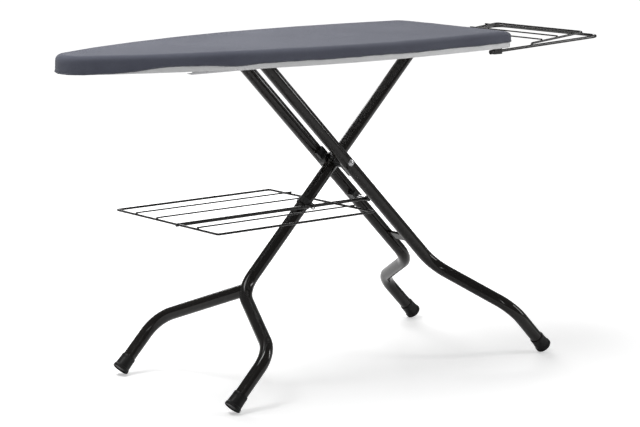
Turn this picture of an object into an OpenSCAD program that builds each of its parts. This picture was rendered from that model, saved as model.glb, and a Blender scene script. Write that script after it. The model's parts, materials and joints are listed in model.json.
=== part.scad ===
// Ironing board: a padded board on a folding scissor stand of round tube, with a wire
// laundry rack between the legs and a wire iron rest that slides out under the tail.
// Frame: +X from the nose to the tail, +Y to the far side, +Z up. The origin is on the
// floor, at the middle of the whole object's length and width. Millimetres.
// The pieces are drawn at the usual working height.

/* [Board] */
// Length of the covered board, nose tip to tail
board_len = 1285; // [1050:1:1500]
// Full width of the covered board at its widest place
board_w = 488; // [420:2:560]
// Distance from the widest place back to the tail
tail_reach = 466; // [350:5:500]
// Radius of the long side curve from the widest place to the nose
side_nose_r = 1750; // [1650:10:2400]
// Radius of the long side curve from the widest place to the tail
side_tail_r = 2900; // [2500:50:4000]
// Radius of the two tail corners
tail_corner_r = 52; // [35:1:70]
// Radius of the bow of the tail edge
tail_bow_r = 2200; // [1800:50:4000]
// Thickness of the fabric cover
cover_t = 3; // [2:0.5:4]
// Height of the cover's skirt below the board's top
cover_skirt = 32; // [26:1:38]
// Thickness of the felt pad
pad_t = 8; // [4:1:12]
// Thickness of the steel top panel and of the rim band
sheet_t = 1.5; // [1:0.25:2]
// Height of the steel rim, from its lower edge to the top of the panel
rim_h = 34; // [28:1:40]
// Width of the lip that the rim turns inwards along its lower edge
rim_lip = 9; // [6:1:12]

/* [Stand] */
// Outside diameter of the leg tubes
tube_d = 33; // [25:0.5:36]
// Wall of the leg tubes
tube_wall = 1.5; // [1:0.25:2]
// Angle of both legs above the floor at the height drawn
leg_angle = 45.5; // [38:0.5:52]
// Leg length from the scissor bolt up to the axle at its top
upper_len = 385; // [330:1:420]
// Leg length from the scissor bolt down to the end of the foot cap
lower_len = 733; // [700:1:780]
// Distance between the centre lines of the two tubes of leg A
pair_gap = 100; // [96:1:110]
// Leg length from the scissor bolt to where both legs begin to flare
flare_start = 428; // [400:1:460]
// Leg length from the scissor bolt to where the flare turns back
flare_end = 567; // [540:1:600]
// Distance between the centre lines of leg A's feet
feet_a_w = 524; // [460:2:560]
// Distance between the centre lines of leg B's feet
feet_b_w = 476; // [420:2:520]
// Centre-line radius of every bend in the leg tubes
bend_r = 85; // [60:1:100]
// Leg length from the scissor bolt to the middle of leg A's cross brace
brace_at = 318; // [290:1:350]
// Length of a foot cap
cap_len = 40; // [34:1:46]
// Diameter of a foot cap's flared end
cap_end_d = 43; // [38:0.5:46]

/* [Joints] */
// Diameter of the scissor bolt
bolt_d = 8; // [6:0.5:10]
// Diameter of the axle at the top of leg A
slide_axle_d = 14; // [12:0.5:16]
// Diameter of the axle at the top of leg B
tail_axle_d = 12; // [10:0.5:14]
// Diameter of the crossbar tube welded to the top of leg B
crossbar_d = 22; // [20:0.5:24]
// Radial clearance of every running fit
fit = 0.08; // [0.03:0.01:0.1]
// Clearance between pieces that pass without touching
gap = 0.4; // [0.3:0.1:0.6]
// Length of a slide shoe
shoe_len = 40; // [30:1:50]
// Height of a slide shoe
shoe_h = 14.5; // [14.5:0.5:18]
// Width of a slide shoe
shoe_w = 20; // [16:1:24]
// Length of the slide rails
rail_len = 378; // [360:1:420]

/* [Laundry rack] */
// Length of the rack frame along the board
rack_len = 489; // [440:1:510]
// Full width of the rack frame
rack_w = 428; // [400:2:440]
// How far the middle of the rack is to the far side of the legs
rack_off = 27; // [20:1:34]
// Height of the rack's wires above the floor
rack_z = 430; // [424:1:436]
// Diameter of the rack's frame wire
rack_wire_d = 6; // [4:0.5:7]
// Diameter of the rack's thin cross wires
rack_thin_d = 4; // [3:0.5:5]
// Diameter of the rod that carries the rack
rack_rod_d = 9; // [7:0.5:10]
// Diameter of the pin that the rack turns on
rack_pin_d = 7; // [6:0.5:7]
// How far the pin lies under the centre line of leg A's tubes
rack_pin_off = 9; // [8:0.5:10]

/* [Iron rest] */
// Full width of the iron rest
rest_w = 400; // [350:2:404]
// How far the iron rest stands out beyond the tail
rest_out = 317; // [280:1:400]
// Diameter of the rest's outer rod
rest_rod_d = 8; // [6:0.5:9]
// Diameter of the rest's raised inner rod
rest_loop_d = 6; // [4:0.5:7]
// Diameter of the rest's thin wires
rest_wire_d = 4; // [3:0.5:5]
// Upward slope of the outer rod
rest_slope = 2.6; // [2:0.1:3]
// Upward slope of the raised inner rod
loop_slope = 5.4; // [5:0.1:6]
// Radius of the outer rod's two corners
rest_corner_r = 24; // [18:1:30]

/* [Hidden] */
$fn = 64;

black_paint = [0.10, 0.10, 0.10];
black_plastic = [0.05, 0.05, 0.05];
zinc = [0.75, 0.75, 0.77];
light_steel = [0.80, 0.80, 0.80];
slate = [0.33, 0.35, 0.41];

// Heights
cap_r = cap_end_d / 2;
pivot_z = lower_len * sin(leg_angle) + cap_r * cos(leg_angle);
axle_z = pivot_z + upper_len * sin(leg_angle);
rim_z = axle_z + 6;
panel_z = rim_z + rim_h - sheet_t;
pad_z = panel_z + sheet_t;
top_z = pad_z + pad_t + cover_t;

// Places along the board, taken from the scissor bolt and then centred
reach_x = upper_len * cos(leg_angle);
tail_end = 456;
nose_end = tail_end - board_len;
rest_end = tail_end + rest_out;
mid_x = (nose_end + rest_end) / 2;
widest_x = tail_end - tail_reach;

// Leg sections
tube_r = tube_d / 2;
pair_y = pair_gap / 2;
tube_end = lower_len - 4;
axle_y = pair_y + tube_r + 6;
top_over = slide_axle_d / 2 + 7;

// Rails that carry leg A's slide shoes
shoe_y = axle_y + gap;
rail_t = 1.5;
rail_in_h = shoe_h + 2 * gap;
rail_in_w = shoe_w + gap;
rail_x = -reach_x + 130 - rail_len;

// Rack places in leg A's own directions
rack_pin_s = (pivot_z - rack_z - rack_pin_off * cos(leg_angle)) / sin(leg_angle);
rack_pin_x = rack_pin_s * cos(leg_angle) - rack_pin_off * sin(leg_angle);
rack_tail = rack_pin_x - 118;
rack_nose = rack_tail - rack_len;
rod_y = -(tube_r + 8);
rack_near = rack_off - rack_w / 2;
rack_far = rack_off + rack_w / 2;
eye_r = rack_pin_d / 2 + 4;
eye_t = rack_rod_d + 1;
ring_r = rack_rod_d / 2 + 4;
ring_wire_d = 3;
ring_tilt = leg_angle - 15.3;
sleeve_r = tube_r + 2.4;

// Iron rest places
guide_x = tail_end - 70;
rest_z = rim_z - 9;
rest_y = rest_w / 2 - rest_rod_d / 2;
loop_in = 28;
loop_start = tail_end + 60;
loop_end = rest_end - loop_in - 8;
loop_y = rest_y - loop_in;
stop_d = 12;

// Latch places
latch_y = -(tube_r + 11);
latch_t = 3;
latch_x = -reach_x - 222;
latch_low = axle_z + slide_axle_d / 2 + gap;
latch_h = 24;
latch_z = latch_low + latch_h - 5.4;
latch_len = 380;
latch_pin_d = 6;
latch_drop = 1.9;
notch_pitch = 24;
notch_play = 1.2;
guide_len = 28;

// Outline of the board. Each stretch is an arc, and inset moves them all inwards together.
half_w = board_w / 2;
nose_d = widest_x - nose_end;
nose_r = (pow(side_nose_r, 2) - pow(side_nose_r - half_w, 2) - pow(nose_d, 2))
    / (2 * (side_nose_r - nose_d));
nose_x = nose_end + nose_r;
nose_turn = atan2(nose_x - widest_x, side_nose_r - half_w);
bow_x = tail_end - tail_bow_r;
side_y = half_w - side_tail_r;
corner_d = norm([bow_x - widest_x, -side_y]);
corner_a = (pow(side_tail_r - tail_corner_r, 2) - pow(tail_bow_r - tail_corner_r, 2)
    + pow(corner_d, 2)) / (2 * corner_d);
corner_h = sqrt(pow(side_tail_r - tail_corner_r, 2) - pow(corner_a, 2));
corner_u = [bow_x - widest_x, -side_y] / corner_d;
corner_c = [widest_x, side_y] + corner_a * corner_u + corner_h * [corner_u[1], -corner_u[0]];
corner_side = atan2(corner_c[1] - side_y, corner_c[0] - widest_x);
corner_bow = atan2(corner_c[1], corner_c[0] - bow_x);

function arc(c, r, a0, a1, n) = [for (i = [0:n]) c + r * [cos(a0 + (a1 - a0) * i / n), sin(a0 + (a1 - a0) * i / n)]];
function upper_half(inset) = concat(
    arc([bow_x, 0], tail_bow_r - inset, 0, corner_bow, 3),
    arc(corner_c, tail_corner_r - inset, corner_bow, corner_side, 6),
    arc([widest_x, side_y], side_tail_r - inset, corner_side, 90, 5),
    arc([widest_x, half_w - side_nose_r], side_nose_r - inset, 90, 90 - nose_turn, 12),
    arc([nose_x, 0], nose_r - inset, 90 - nose_turn, 180, 7)
);
function spaced(p) = [for (i = [0:len(p) - 1]) if (i == 0 || norm(p[i] - p[i - 1]) > 0.01) p[i]];
function outline(inset) = let (u = spaced(upper_half(inset)), n = len(u)) concat(u, [for (i = [n - 2:-1:1]) [u[i][0], -u[i][1]]]);

module board_slab(inset, z, h) {
    translate([0, 0, z]) linear_extrude(h) polygon(outline(inset));
}

// Rod along Y with its ends at y0 and y1
module rod_y(x, z, d, y0, y1) {
    translate([x, y0, z]) rotate([-90, 0, 0]) cylinder(h = y1 - y0, d = d);
}

// Section of a round bar or tube; bore is 0 for a solid bar
module ring_section(d, bore) {
    difference() {
        circle(d = d);
        if (bore > 0) circle(d = bore);
    }
}

// Each bend is thicker by this much, so the straight stretches can run a little way into it
bend_step = 0.1;
bend_lap = 0.5;

// Round bar or tube bent in its own XY plane along path, each bend with radius r
module bent_bar(path, r, d, bore = 0) {
    n = len(path);
    function dir(i) = (path[i + 1] - path[i]) / norm(path[i + 1] - path[i]);
    function ang(i) = atan2(dir(i)[1], dir(i)[0]);
    function turn(i) = ang(i) - ang(i - 1);
    function cut(i) = (i == 0 || i == n - 1) ? 0 : r * tan(abs(turn(i)) / 2);
    function lap(i) = (i == 0 || i == n - 1) ? 0 : bend_lap;
    for (i = [0:n - 2]) {
        a = path[i] + dir(i) * (cut(i) - lap(i));
        b = path[i + 1] - dir(i) * (cut(i + 1) - lap(i + 1));
        translate([a[0], a[1], 0]) rotate([0, 0, ang(i)]) rotate([0, 90, 0])
            linear_extrude(norm(b - a)) ring_section(d, bore);
    }
    for (i = [1:1:n - 2]) {
        side = sign(turn(i));
        a = path[i] - dir(i - 1) * cut(i);
        c = a + side * r * [-dir(i - 1)[1], dir(i - 1)[0]];
        translate([c[0], c[1], 0]) rotate([0, 0, ang(i - 1) - side * 90 + (side < 0 ? turn(i) : 0)])
            rotate_extrude(angle = abs(turn(i))) translate([r, 0])
                ring_section(d + bend_step, bore - bend_step);
    }
}

// Leg frames: local X runs down the leg from the scissor bolt
module on_leg_a() {
    translate([0, 0, pivot_z]) rotate([0, leg_angle, 0]) children();
}
module on_leg_b() {
    translate([0, 0, pivot_z]) rotate([0, 180 - leg_angle, 0]) children();
}

module foot_cap(y) {
    lip = 4;
    translate([lower_len - cap_len, y, 0]) rotate([0, 90, 0]) {
        rotate_extrude() polygon([
            [0, cap_len - 4], [tube_r + fit, cap_len - 4], [tube_r + fit, 0], [tube_r + 2, 0],
            [tube_r + 2.4, 6], [tube_r + 2, 7.5], [cap_r - 1.6, cap_len - 9],
            [cap_r, cap_len - 7], [cap_r, cap_len - 1], [cap_r - 1, cap_len],
            [cap_r - lip, cap_len], [cap_r - lip - 1, cap_len - 2.2], [0, cap_len - 2.2]
        ]);
    }
}

// Board
module top_panel() {
    color(light_steel) board_slab(cover_t + fit, panel_z, sheet_t);
}
module rim_band() {
    color(light_steel) {
        difference() {
            board_slab(cover_t + fit, rim_z, panel_z - rim_z);
            board_slab(cover_t + fit + sheet_t, rim_z - 1, panel_z - rim_z + 2);
        }
        difference() {
            board_slab(cover_t + fit + sheet_t, rim_z, sheet_t);
            board_slab(cover_t + fit + rim_lip, rim_z - 1, sheet_t + 2);
        }
    }
}
module felt_pad() {
    color("whitesmoke") board_slab(cover_t + fit, pad_z, pad_t);
}
module cover() {
    color(slate) difference() {
        board_slab(0, top_z - cover_skirt, cover_skirt);
        board_slab(cover_t, top_z - cover_skirt - 1, cover_skirt + 1 - cover_t);
    }
}

// Rails and brackets under the panel
module rail(side) {
    z0 = axle_z - rail_in_h / 2;
    color(zinc) translate([rail_x, 0, 0]) mirror([0, side < 0 ? 1 : 0, 0]) difference() {
        translate([0, shoe_y, z0 - rail_t]) cube([rail_len, rail_in_w + rail_t, rail_in_h + 2 * rail_t]);
        translate([-1, shoe_y - 1, z0]) cube([rail_len + 2, rail_in_w + 1, rail_in_h]);
    }
}
hanger_x = [for (i = [0:2]) rail_x + 40 + i * (rail_len - 80) / 2];
module rail_hangers() {
    z0 = axle_z + rail_in_h / 2 + rail_t;
    color(zinc) for (x = hanger_x, side = [-1, 1]) {
        translate([x - 12, side * (shoe_y + rail_in_w / 2) - 8, z0]) difference() {
            cube([24, 16, panel_z - z0]);
            translate([2, -1, 2]) cube([20, 18, panel_z - z0 - 4]);
        }
    }
}
module hanger_rivets() {
    z0 = axle_z + rail_in_h / 2 + rail_t + 2;
    color(zinc) for (x = hanger_x, side = [-1, 1]) {
        translate([x, side * (shoe_y + rail_in_w / 2), z0]) {
            cylinder(h = 2, d = 8);
            translate([0, 0, panel_z - z0 - 4]) cylinder(h = 2, d = 8);
        }
    }
}
ear_t = 3;
ear_y = axle_y + 1;
module tail_bracket() {
    color(zinc) difference() {
        union() {
            translate([reach_x - 30, -ear_y - ear_t, panel_z - 2]) cube([60, 2 * (ear_y + ear_t), 2]);
            for (side = [-1, 1]) {
                translate([reach_x - 16, side * (ear_y + ear_t / 2) - ear_t / 2, axle_z])
                    cube([32, ear_t, panel_z - axle_z - 1]);
                rod_y(reach_x, axle_z, 32, side * (ear_y + ear_t / 2) - ear_t / 2, side * (ear_y + ear_t / 2) + ear_t / 2);
            }
        }
        rod_y(reach_x, axle_z, tail_axle_d + 2 * fit, -ear_y - ear_t - 1, ear_y + ear_t + 1);
    }
}
module bracket_rivets() {
    color(zinc) for (dx = [-20, 20], y = [-45, 45]) {
        translate([reach_x + dx, y, panel_z - 4]) cylinder(h = 2, d = 9);
    }
}
module rest_guide(side) {
    z0 = rest_z - 7;
    color(black_plastic) difference() {
        translate([guide_x - guide_len / 2, side * rest_y - 6, z0]) cube([guide_len, 12, panel_z - z0]);
        rest_axis(side) cylinder(h = 200, d = rest_rod_d + 2 * fit, center = true);
    }
}
module rest_guide_near() { rest_guide(-1); }
module rest_guide_far() { rest_guide(1); }
module rail_near() { rail(-1); }
module rail_far() { rail(1); }

// Latch: a notched plate that drops over leg A's axle. It is drawn lifted clear.
latch_ear = 7;
latch_pin_y = latch_ear + 3;
module latch_bracket() {
    color(zinc) difference() {
        union() {
            translate([latch_x - 16, latch_y - 9, panel_z - 2]) cube([32, 18, 2]);
            for (side = [-1, 1]) {
                translate([latch_x - 7, latch_y + side * latch_ear - 1, latch_z - 6])
                    cube([14, 2, panel_z - latch_z + 5]);
            }
        }
        rod_y(latch_x, latch_z, latch_pin_d, latch_y - latch_pin_y, latch_y + latch_pin_y);
    }
}
module latch_pin() {
    color(zinc) {
        rod_y(latch_x, latch_z, latch_pin_d, latch_y - latch_pin_y, latch_y + latch_pin_y);
        for (side = [-1, 1]) {
            rod_y(latch_x, latch_z, latch_pin_d + 3, latch_y + side * latch_pin_y - 0.75, latch_y + side * latch_pin_y + 0.75);
        }
    }
}
module latch_plate() {
    color(zinc) difference() {
        translate([latch_x - 8, latch_y - latch_t / 2, latch_low]) cube([latch_len, latch_t, latch_h]);
        rod_y(latch_x, latch_z, latch_pin_d + 2 * fit, latch_y - 5, latch_y + 5);
        for (i = [0:5]) {
            dx = -reach_x + (3 - i) * notch_pitch - latch_x;
            translate([latch_x, 0, latch_z]) rotate([0, -latch_drop, 0]) {
                rod_y(dx, axle_z - latch_z, slide_axle_d + 2 * notch_play, latch_y - 5, latch_y + 5);
                translate([dx - slide_axle_d / 2 - notch_play, latch_y - 5, axle_z - latch_z - 20])
                    cube([slide_axle_d + 2 * notch_play, 10, 20]);
            }
        }
    }
}
module latch_handle() {
    x = latch_x + latch_len - 26;
    reach_y = 205;
    color(black_plastic) {
        translate([x - 9, -reach_y, latch_low + 15]) cube([18, reach_y + latch_y - latch_t / 2, 5]);
        translate([x - 20, -reach_y, latch_low + 15]) cube([40, 14, 8]);
    }
}
module latch_washers() {
    color(black_plastic) for (side = [-1, 1]) {
        y = latch_y + side * (latch_t / 2 + 1.6);
        difference() {
            rod_y(latch_x, latch_z, latch_pin_d + 6, y - 1.2, y + 1.2);
            rod_y(latch_x, latch_z, latch_pin_d, y - 3, y + 3);
        }
    }
}

// Leg B
b_half = feet_b_w / 2;
b_path = [[-upper_len, 0], [flare_start, 0], [flare_end, -b_half], [tube_end, -b_half]];
b_flare = atan2(b_half, flare_end - flare_start);
b_bend_x = flare_start - bend_r * tan(b_flare / 2);
b_mid = [b_bend_x + bend_r * sin(b_flare / 2), -bend_r * (1 - cos(b_flare / 2))];
module leg_b_tube() {
    color(black_paint) on_leg_b() difference() {
        bent_bar(b_path, bend_r, tube_d, tube_d - 2 * tube_wall);
        rod_y(0, 0, bolt_d + 2 * fit, -tube_d, tube_d);
        rod_y(-upper_len, 0, crossbar_d, -tube_d, tube_d);
    }
}
module leg_b_branch() {
    path = [b_mid, [flare_end, b_half], [tube_end, b_half]];
    color(black_paint) on_leg_b() difference() {
        bent_bar(path, bend_r, tube_d, tube_d - 2 * tube_wall);
        translate([b_bend_x - 40, 0, 0]) rotate([0, 90, 0]) cylinder(h = 40, d = tube_d);
        translate([b_bend_x, -bend_r, 0]) rotate([0, 0, 90 - b_flare])
            rotate_extrude(angle = b_flare) translate([bend_r, 0]) circle(d = tube_d + bend_step);
    }
}
module leg_b_crossbar() {
    color(black_paint) difference() {
        rod_y(reach_x, axle_z, crossbar_d, -ear_y + 1, ear_y - 1);
        rod_y(reach_x, axle_z, tail_axle_d, -ear_y, ear_y);
    }
}
module tail_axle() {
    color(zinc) rod_y(reach_x, axle_z, tail_axle_d, -ear_y - ear_t - 5, ear_y + ear_t + 5);
}
module tail_axle_caps() {
    color(black_plastic) for (side = [-1, 1]) {
        difference() {
            rod_y(reach_x, axle_z, tail_axle_d + 6, side * (ear_y + ear_t + 4.4) - 4, side * (ear_y + ear_t + 4.4) + 4);
            rod_y(reach_x, axle_z, tail_axle_d, -ear_y - ear_t - 5, ear_y + ear_t + 5);
        }
    }
}
module foot_cap_b_near() { color(black_plastic) on_leg_b() foot_cap(-b_half); }
module foot_cap_b_far() { color(black_plastic) on_leg_b() foot_cap(b_half); }
// Sleeve with a ring that the rack's rod slides through
module rack_hook() {
    color(black_plastic) on_leg_b() difference() {
        union() {
            translate([rack_pin_s - 8, 0, 0]) rotate([0, 90, 0]) cylinder(h = 16, r = sleeve_r);
            rod_y(rack_pin_s, rack_pin_off, 6, rod_y + ring_r, -8);
            translate([rack_pin_s, rod_y, rack_pin_off]) rotate([0, 90 + ring_tilt, 0])
                rotate_extrude() translate([ring_r, 0]) circle(d = ring_wire_d);
        }
        translate([rack_pin_s - 20, 0, 0]) rotate([0, 90, 0]) cylinder(h = 40, d = tube_d);
    }
}
module rack_hook_screw() {
    color(zinc) on_leg_b() difference() {
        rod_y(rack_pin_s, 0, 6, tube_r, sleeve_r + 1.6);
        translate([rack_pin_s - 10, 0, 0]) rotate([0, 90, 0]) cylinder(h = 20, r = sleeve_r);
    }
}

// Leg A
a_half = feet_a_w / 2;
module leg_a_tube(side) {
    path = [[-upper_len - top_over, side * pair_y], [flare_start, side * pair_y],
        [flare_end, side * a_half], [tube_end, side * a_half]];
    color(black_paint) on_leg_a() difference() {
        bent_bar(path, bend_r, tube_d, tube_d - 2 * tube_wall);
        rod_y(0, 0, bolt_d, -pair_gap, pair_gap);
        rod_y(-upper_len, 0, slide_axle_d, -pair_gap, pair_gap);
        if (side > 0) rod_y(rack_pin_s, -rack_pin_off, rack_pin_d, 0, pair_gap);
    }
}
module leg_a_near_tube() { leg_a_tube(-1); }
module leg_a_far_tube() { leg_a_tube(1); }
module leg_a_brace() {
    color(black_paint) on_leg_a() difference() {
        translate([brace_at - 13, -pair_y, -3.5]) cube([26, pair_gap, 7]);
        for (side = [-1, 1]) {
            translate([0, side * pair_y, 0]) rotate([0, 90, 0]) cylinder(h = 2 * brace_at, d = tube_d);
        }
    }
}
module slide_axle() {
    color(zinc) on_leg_a() rod_y(-upper_len, 0, slide_axle_d, -shoe_y - shoe_w + 2, shoe_y + shoe_w - 2);
}
module pivot_bolt() {
    color(zinc) {
        rod_y(0, pivot_z, bolt_d, -pair_y - tube_r - 2, pair_y + tube_r + 9);
        translate([0, -pair_y - tube_r - 2, pivot_z]) rotate([90, 0, 0]) rotate_extrude()
            polygon([[0, 0], [6.6, 0], [6.6, 1.4], [5.6, 3.4], [3.4, 4.6], [2.6, 4.8], [2.6, 3], [0, 3]]);
    }
}
module pivot_nut() {
    color(zinc) difference() {
        translate([0, pair_y + tube_r + 2, pivot_z]) rotate([-90, 0, 0]) cylinder(h = 6.5, d = 15, $fn = 6);
        rod_y(0, pivot_z, bolt_d, 0, pair_gap);
    }
}
module pivot_washers() {
    color(zinc) for (side = [-1, 1]) {
        difference() {
            rod_y(0, pivot_z, 17, side * (pair_y + tube_r) - 2, side * (pair_y + tube_r) + 2);
            rod_y(0, pivot_z, bolt_d, -pair_gap, pair_gap);
            on_leg_a() translate([-50, side * pair_y, 0]) rotate([0, 90, 0]) cylinder(h = 100, d = tube_d);
        }
    }
}
// Plastic saddle that fills the space between leg B and one tube of leg A
module pivot_spacer(side) {
    face = tube_r + gap;
    wing_y = pair_y - tube_r - 4;
    color(black_plastic) on_leg_a() difference() {
        mirror([0, side < 0 ? 1 : 0, 0]) {
            rod_y(0, 0, 34, face, pair_y - 3);
            translate([-34, wing_y, -13]) cube([78, pair_y - 3 - wing_y, 26]);
        }
        translate([-60, side * pair_y, 0]) rotate([0, 90, 0]) cylinder(h = 120, d = tube_d);
        rod_y(0, 0, bolt_d, -pair_gap, pair_gap);
    }
}
module pivot_spacer_near() { pivot_spacer(-1); }
module pivot_spacer_far() { pivot_spacer(1); }
module foot_cap_a_near() { color(black_plastic) on_leg_a() foot_cap(-a_half); }
module foot_cap_a_far() { color(black_plastic) on_leg_a() foot_cap(a_half); }
module rack_pin() {
    head_y = rod_y - eye_t / 2 - gap;
    color(zinc) on_leg_a() {
        rod_y(rack_pin_s, -rack_pin_off, rack_pin_d, head_y, pair_y + tube_r);
        rod_y(rack_pin_s, -rack_pin_off, rack_pin_d + 4, head_y - 2, head_y);
    }
}

// Slide shoes
module slide_shoe(side) {
    y0 = side < 0 ? -shoe_y - shoe_w : shoe_y;
    color(black_plastic) difference() {
        translate([-reach_x - shoe_len / 2, y0, axle_z - shoe_h / 2]) cube([shoe_len, shoe_w, shoe_h]);
        rod_y(-reach_x, axle_z, slide_axle_d + 2 * fit, -shoe_y - shoe_w + 1.5, shoe_y + shoe_w - 1.5);
    }
}
module slide_shoe_near() { slide_shoe(-1); }
module slide_shoe_far() { slide_shoe(1); }

// Laundry rack
thin_y = [(rack_near + rod_y) / 2, rod_y + (rack_far - rod_y) / 3, rod_y + (rack_far - rod_y) * 2 / 3];
module rack_frame() {
    color(black_paint) translate([0, 0, rack_z])
        wire_loop(rack_nose, rack_tail, rack_near, rack_far, 6, rack_wire_d);
}
// Closed rectangle of wire with rounded corners
module wire_loop(x0, x1, y0, y1, r, d) {
    lx = x1 - x0 - 2 * r + 2 * bend_lap;
    ly = y1 - y0 - 2 * r + 2 * bend_lap;
    for (y = [y0, y1]) translate([x0 + r - bend_lap, y, 0]) rotate([0, 90, 0]) cylinder(h = lx, d = d);
    for (x = [x0, x1]) translate([x, y0 + r - bend_lap, 0]) rotate([-90, 0, 0]) cylinder(h = ly, d = d);
    corners = [[x0 + r, y0 + r, 180], [x1 - r, y0 + r, 270], [x1 - r, y1 - r, 0], [x0 + r, y1 - r, 90]];
    for (c = corners) translate([c[0], c[1], 0]) rotate([0, 0, c[2]])
        rotate_extrude(angle = 90) translate([r, 0]) circle(d = d + bend_step);
}
module rack_wires() {
    color(black_paint) for (y = thin_y) {
        z = rack_z + (rack_wire_d + rack_thin_d) / 2;
        translate([rack_nose - 2, y, z]) rotate([0, 90, 0]) cylinder(h = rack_len + 6, d = rack_thin_d);
    }
}
module rack_rod() {
    x1 = rack_pin_x;
    color(black_paint) difference() {
        union() {
            translate([rack_nose - 6, rod_y, rack_z]) rotate([0, 90, 0])
                cylinder(h = x1 + 12 - rack_nose + 6, d = rack_rod_d);
            rod_y(x1, rack_z, 2 * eye_r, rod_y - eye_t / 2, rod_y + eye_t / 2);
        }
        rod_y(x1, rack_z, rack_pin_d + 2 * fit, rod_y - eye_t, rod_y + eye_t);
        for (x = [rack_nose, rack_tail]) rod_y(x, rack_z, rack_wire_d, rod_y - 9, rod_y + 9);
    }
}
// Block on the inner side of the far tube, around the rack's pin
module rack_clip() {
    y0 = tube_r + 3;
    color(black_plastic) on_leg_a() difference() {
        translate([rack_pin_s - 14, y0, -rack_pin_off - 8]) cube([28, pair_y - 10 - y0, 16]);
        translate([rack_pin_s - 30, pair_y, 0]) rotate([0, 90, 0]) cylinder(h = 60, d = tube_d);
        rod_y(rack_pin_s, -rack_pin_off, rack_pin_d, 0, pair_gap);
    }
}
module rack_clip_screw() {
    color(zinc) on_leg_a() rod_y(rack_pin_s + 9, -rack_pin_off, 6, tube_r + 1.4, tube_r + 3);
}

// Iron rest
// Local frame of one of the rest's rails: Z runs along the rod
module rest_axis(side) {
    translate([guide_x, side * rest_y, rest_z]) rotate([0, 90 - rest_slope, 0]) children();
}
// Frame with X along the rest's slope and the XY plane through its rods
module on_rest() {
    translate([guide_x, 0, rest_z]) rotate([0, -rest_slope, 0]) children();
}
stop_len = 8;
rest_l0 = -guide_len / 2 - 1 - stop_len;
rest_l1 = (rest_end - rest_rod_d / 2 - guide_x) / cos(rest_slope);
module rest_frame() {
    color(black_paint) on_rest()
        bent_bar([[rest_l0, -rest_y], [rest_l1, -rest_y], [rest_l1, rest_y], [rest_l0, rest_y]], rest_corner_r, rest_rod_d);
}
loop_l0 = (loop_start - guide_x) / cos(rest_slope);
loop_l1 = (loop_end - guide_x) / cos(rest_slope);
loop_rise = loop_slope - rest_slope;
loop_base = (rest_rod_d - rest_loop_d) / 2;
module on_loop() {
    on_rest() translate([loop_l0, 0, loop_base]) rotate([0, -loop_rise, 0]) children();
}
loop_len = (loop_l1 - loop_l0) / cos(loop_rise);
module rest_platform() {
    start = rest_y - rest_rod_d / 2;
    color(black_paint) difference() {
        on_loop() bent_bar([[0, -start], [26, -loop_y], [loop_len, -loop_y], [loop_len, loop_y],
            [26, loop_y], [0, start]], 12, rest_loop_d);
        on_rest() for (side = [-1, 1]) {
            translate([loop_l0 - 40, side * rest_y, 0]) rotate([0, 90, 0]) cylinder(h = 80, d = rest_rod_d);
        }
    }
}
module rest_wires() {
    color(black_paint) on_loop() for (i = [0:2]) {
        rod_y(62 + i * 58, (rest_loop_d + rest_wire_d) / 2, rest_wire_d, -loop_y - 2, loop_y + 2);
    }
}
// Short links from the raised rod's tail edge down to the outer rod
link_x = loop_l0 + loop_len * cos(loop_rise);
link_z = loop_base + loop_len * sin(loop_rise);
link_dx = rest_l1 - link_x;
module rest_links() {
    color(black_paint) on_rest() for (y = [-loop_y + 22, 0, loop_y - 22]) {
        difference() {
            translate([link_x, y, link_z]) rotate([0, 90 + atan2(link_z, link_dx), 0])
                cylinder(h = norm([link_dx, link_z]), d = 4);
            rod_y(rest_l1, 0, rest_rod_d, -rest_y, rest_y);
            rod_y(link_x, link_z, rest_loop_d, -loop_y, loop_y);
        }
    }
}
module rest_stops() {
    color(black_plastic) on_rest() for (side = [-1, 1]) {
        difference() {
            translate([rest_l0, side * rest_y, 0]) rotate([0, 90, 0]) cylinder(h = stop_len, d = stop_d);
            translate([rest_l0 - 1, side * rest_y, 0]) rotate([0, 90, 0]) cylinder(h = 12, d = rest_rod_d);
        }
    }
}

translate([-mid_x, 0, 0]) {
    top_panel();
    rim_band();
    felt_pad();
    cover();
    rail_near();
    rail_far();
    rail_hangers();
    hanger_rivets();
    tail_bracket();
    bracket_rivets();
    latch_bracket();
    latch_pin();
    latch_plate();
    latch_handle();
    latch_washers();
    rest_guide_near();
    rest_guide_far();
    leg_b_tube();
    leg_b_branch();
    leg_b_crossbar();
    tail_axle();
    tail_axle_caps();
    foot_cap_b_near();
    foot_cap_b_far();
    rack_hook();
    rack_hook_screw();
    leg_a_near_tube();
    leg_a_far_tube();
    leg_a_brace();
    slide_axle();
    pivot_bolt();
    pivot_nut();
    pivot_washers();
    pivot_spacer_near();
    pivot_spacer_far();
    foot_cap_a_near();
    foot_cap_a_far();
    rack_pin();
    slide_shoe_near();
    slide_shoe_far();
    rack_frame();
    rack_wires();
    rack_rod();
    rack_clip();
    rack_clip_screw();
    rest_frame();
    rest_platform();
    rest_wires();
    rest_links();
    rest_stops();
}
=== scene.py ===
"""Folding ironing board: the finish, the cloth cover, the studio and the camera.

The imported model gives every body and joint. This script dresses each of its pieces, makes
the soft cover in place of its plain solid, and sets a pale studio round it.
"""

import json
import logging
import math
from dataclasses import dataclass, field
from enum import Enum

import bmesh
import bpy
from mathutils import Matrix, Vector, noise

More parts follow.
